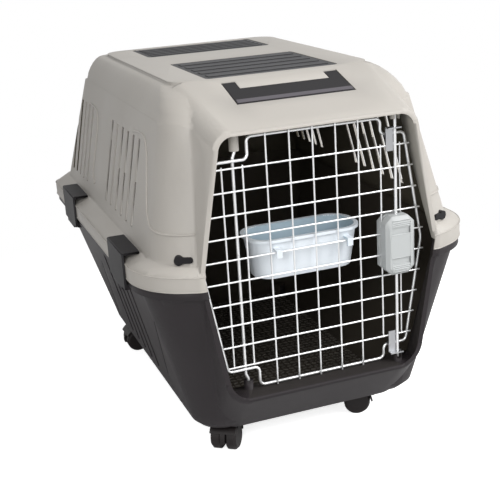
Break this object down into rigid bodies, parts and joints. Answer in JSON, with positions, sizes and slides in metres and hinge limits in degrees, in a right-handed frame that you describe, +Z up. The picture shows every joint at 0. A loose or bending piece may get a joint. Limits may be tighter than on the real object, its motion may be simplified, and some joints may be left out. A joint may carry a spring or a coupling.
{
  "type": "pet carrier",
  "caption": "Large two-shell plastic pet carrier on castors with a hinged wire door, squeeze latch, hanging bowl, folding roof handle and side clips",
  "frame": {"origin": "on the floor under the middle of the carrier", "axes": "+Z up, the door faces -Y, +X to the right of someone facing the door"},
  "size_m": [0.6088, 0.796, 0.6417],
  "materials": {
    "warm_grey_plastic": "satin",
    "charcoal_plastic": "satin",
    "dark_trim_plastic": "matte",
    "black_castor_plastic": "satin",
    "pale_latch_plastic": "satin",
    "milky_bowl_plastic": "gloss",
    "bright_wire": "polished",
    "plated_steel": "satin"
  },
  "bodies": {
    "base": {"upper_shell": "warm_grey_plastic", "lower_shell": "charcoal_plastic", "corner_plug_right": "dark_trim_plastic", "corner_plug_left": "dark_trim_plastic", "roof_insert_front": "dark_trim_plastic", "roof_insert_rear": "dark_trim_plastic", "handle_pins": "plated_steel", "clip_pins": "plated_steel"},
    "door": {"door_frame_wire": "bright_wire", "door_cross_wires": "bright_wire", "door_upright_wires": "bright_wire", "hinge_rod": "bright_wire", "rod_guide_upper": "bright_wire", "rod_guide_lower": "bright_wire", "latch_case_front": "pale_latch_plastic", "latch_case_back": "pale_latch_plastic", "latch_screws": "plated_steel", "latch_spring_upper": "plated_steel", "latch_spring_lower": "plated_steel"},
    "latch_upper": {"latch_grip_upper": "pale_latch_plastic", "latch_rod_upper": "bright_wire"},
    "latch_lower": {"latch_grip_lower": "pale_latch_plastic", "latch_rod_lower": "bright_wire"},
    "bowl": {"feeding_bowl": "milky_bowl_plastic"},
    "handle": {"carry_handle": "dark_trim_plastic"},
    "clip_front_left": {"side_clip_front_left": "dark_trim_plastic"},
    "clip_front_right": {"side_clip_front_right": "dark_trim_plastic"},
    "clip_rear_left": {"side_clip_rear_left": "dark_trim_plastic"},
    "clip_rear_right": {"side_clip_rear_right": "dark_trim_plastic"},
    "castor_front_left": {"castor_fork_front_left": "black_castor_plastic", "castor_stem_front_left": "plated_steel", "castor_axle_front_left": "plated_steel"},
    "wheel_a_front_left": {"castor_wheel_a_front_left": "black_castor_plastic"},
    "wheel_b_front_left": {"castor_wheel_b_front_left": "black_castor_plastic"},
    "castor_front_right": {"castor_fork_front_right": "black_castor_plastic", "castor_stem_front_right": "plated_steel", "castor_axle_front_right": "plated_steel"},
    "wheel_a_front_right": {"castor_wheel_a_front_right": "black_castor_plastic"},
    "wheel_b_front_right": {"castor_wheel_b_front_right": "black_castor_plastic"},
    "castor_rear_left": {"castor_fork_rear_left": "black_castor_plastic", "castor_stem_rear_left": "plated_steel", "castor_axle_rear_left": "plated_steel"},
    "wheel_a_rear_left": {"castor_wheel_a_rear_left": "black_castor_plastic"},
    "wheel_b_rear_left": {"castor_wheel_b_rear_left": "black_castor_plastic"},
    "castor_rear_right": {"castor_fork_rear_right": "black_castor_plastic", "castor_stem_rear_right": "plated_steel", "castor_axle_rear_right": "plated_steel"},
    "wheel_a_rear_right": {"castor_wheel_a_rear_right": "black_castor_plastic"},
    "wheel_b_rear_right": {"castor_wheel_b_rear_right": "black_castor_plastic"}
  },
  "joints": [
    {"name": "door_swing", "type": "hinge", "parent": "base", "child": "door", "pos_m": [-0.129, -0.3564, 0.357], "axis": [0, 0, -1], "range_deg": [0, 105]},
    {"name": "latch_upper_slide", "type": "slide", "parent": "door", "child": "latch_upper", "axis": [0, 0, -1], "range_m": [0, 0.01], "stiffness_N_per_m": 300, "springref_m": -0.01, "deforming": ["latch_spring_upper"]},
    {"name": "latch_lower_slide", "type": "slide", "parent": "door", "child": "latch_lower", "axis": [0, 0, 1], "range_m": [0, 0.01], "stiffness_N_per_m": 300, "springref_m": -0.01, "deforming": ["latch_spring_lower"]},
    {"name": "bowl_lift", "type": "slide", "parent": "door", "child": "bowl", "axis": [0, 0, 1], "range_m": [0, 0.025]},
    {"name": "handle_fold", "type": "hinge", "parent": "base", "child": "handle", "pos_m": [0, -0.24216, 0.63047], "axis": [-1, 0, 0], "range_deg": [0, 100]},
    {"name": "clip_swing_front_left", "type": "hinge", "parent": "base", "child": "clip_front_left", "pos_m": [-0.295, -0.222, 0.323], "axis": [0, -1, 0], "range_deg": [0, 100]},
    {"name": "clip_swing_front_right", "type": "hinge", "parent": "base", "child": "clip_front_right", "pos_m": [0.295, -0.158, 0.323], "axis": [0, 1, 0], "range_deg": [0, 100]},
    {"name": "clip_swing_rear_left", "type": "hinge", "parent": "base", "child": "clip_rear_left", "pos_m": [-0.295, 0.176, 0.323], "axis": [0, -1, 0], "range_deg": [0, 100]},
    {"name": "clip_swing_rear_right", "type": "hinge", "parent": "base", "child": "clip_rear_right", "pos_m": [0.295, 0.24, 0.323], "axis": [0, 1, 0], "range_deg": [0, 100]},
    {"name": "castor_swivel_front_left", "type": "hinge", "parent": "base", "child": "castor_front_left", "pos_m": [-0.138, -0.266, 0.05], "axis": [0, 0, 1], "continuous": true},
    {"name": "wheel_a_spin_front_left", "type": "hinge", "parent": "castor_front_left", "child": "wheel_a_front_left", "pos_m": [-0.15211, -0.28542, 0.024], "axis": [-0.809, 0.5878, 0], "continuous": true},
    {"name": "wheel_b_spin_front_left", "type": "hinge", "parent": "castor_front_left", "child": "wheel_b_front_left", "pos_m": [-0.15211, -0.28542, 0.024], "axis": [-0.809, 0.5878, 0], "continuous": true},
    {"name": "castor_swivel_front_right", "type": "hinge", "parent": "base", "child": "castor_front_right", "pos_m": [0.138, -0.266, 0.05], "axis": [0, 0, 1], "continuous": true},
    {"name": "wheel_a_spin_front_right", "type": "hinge", "parent": "castor_front_right", "child": "wheel_a_front_right", "pos_m": [0.11517, -0.25858, 0.024], "axis": [0.309, 0.9511, 0], "continuous": true},
    {"name": "wheel_b_spin_front_right", "type": "hinge", "parent": "castor_front_right", "child": "wheel_b_front_right", "pos_m": [0.11517, -0.25858, 0.024], "axis": [0.309, 0.9511, 0], "continuous": true},
    {"name": "castor_swivel_rear_left", "type": "hinge", "parent": "base", "child": "castor_rear_left", "pos_m": [-0.16, 0.221, 0.05], "axis": [0, 0, 1], "continuous": true},
    {"name": "wheel_a_spin_rear_left", "type": "hinge", "parent": "castor_rear_left", "child": "wheel_a_rear_left", "pos_m": [-0.184, 0.221, 0.024], "axis": [0, 1, 0], "continuous": true},
    {"name": "wheel_b_spin_rear_left", "type": "hinge", "parent": "castor_rear_left", "child": "wheel_b_rear_left", "pos_m": [-0.184, 0.221, 0.024], "axis": [0, 1, 0], "continuous": true},
    {"name": "castor_swivel_rear_right", "type": "hinge", "parent": "base", "child": "castor_rear_right", "pos_m": [0.16, 0.221, 0.05], "axis": [0, 0, 1], "continuous": true},
    {"name": "wheel_a_spin_rear_right", "type": "hinge", "parent": "castor_rear_right", "child": "wheel_a_rear_right", "pos_m": [0.16, 0.245, 0.024], "axis": [1, 0, 0], "continuous": true},
    {"name": "wheel_b_spin_rear_right", "type": "hinge", "parent": "castor_rear_right", "child": "wheel_b_rear_right", "pos_m": [0.16, 0.245, 0.024], "axis": [1, 0, 0], "continuous": true}
  ]
}
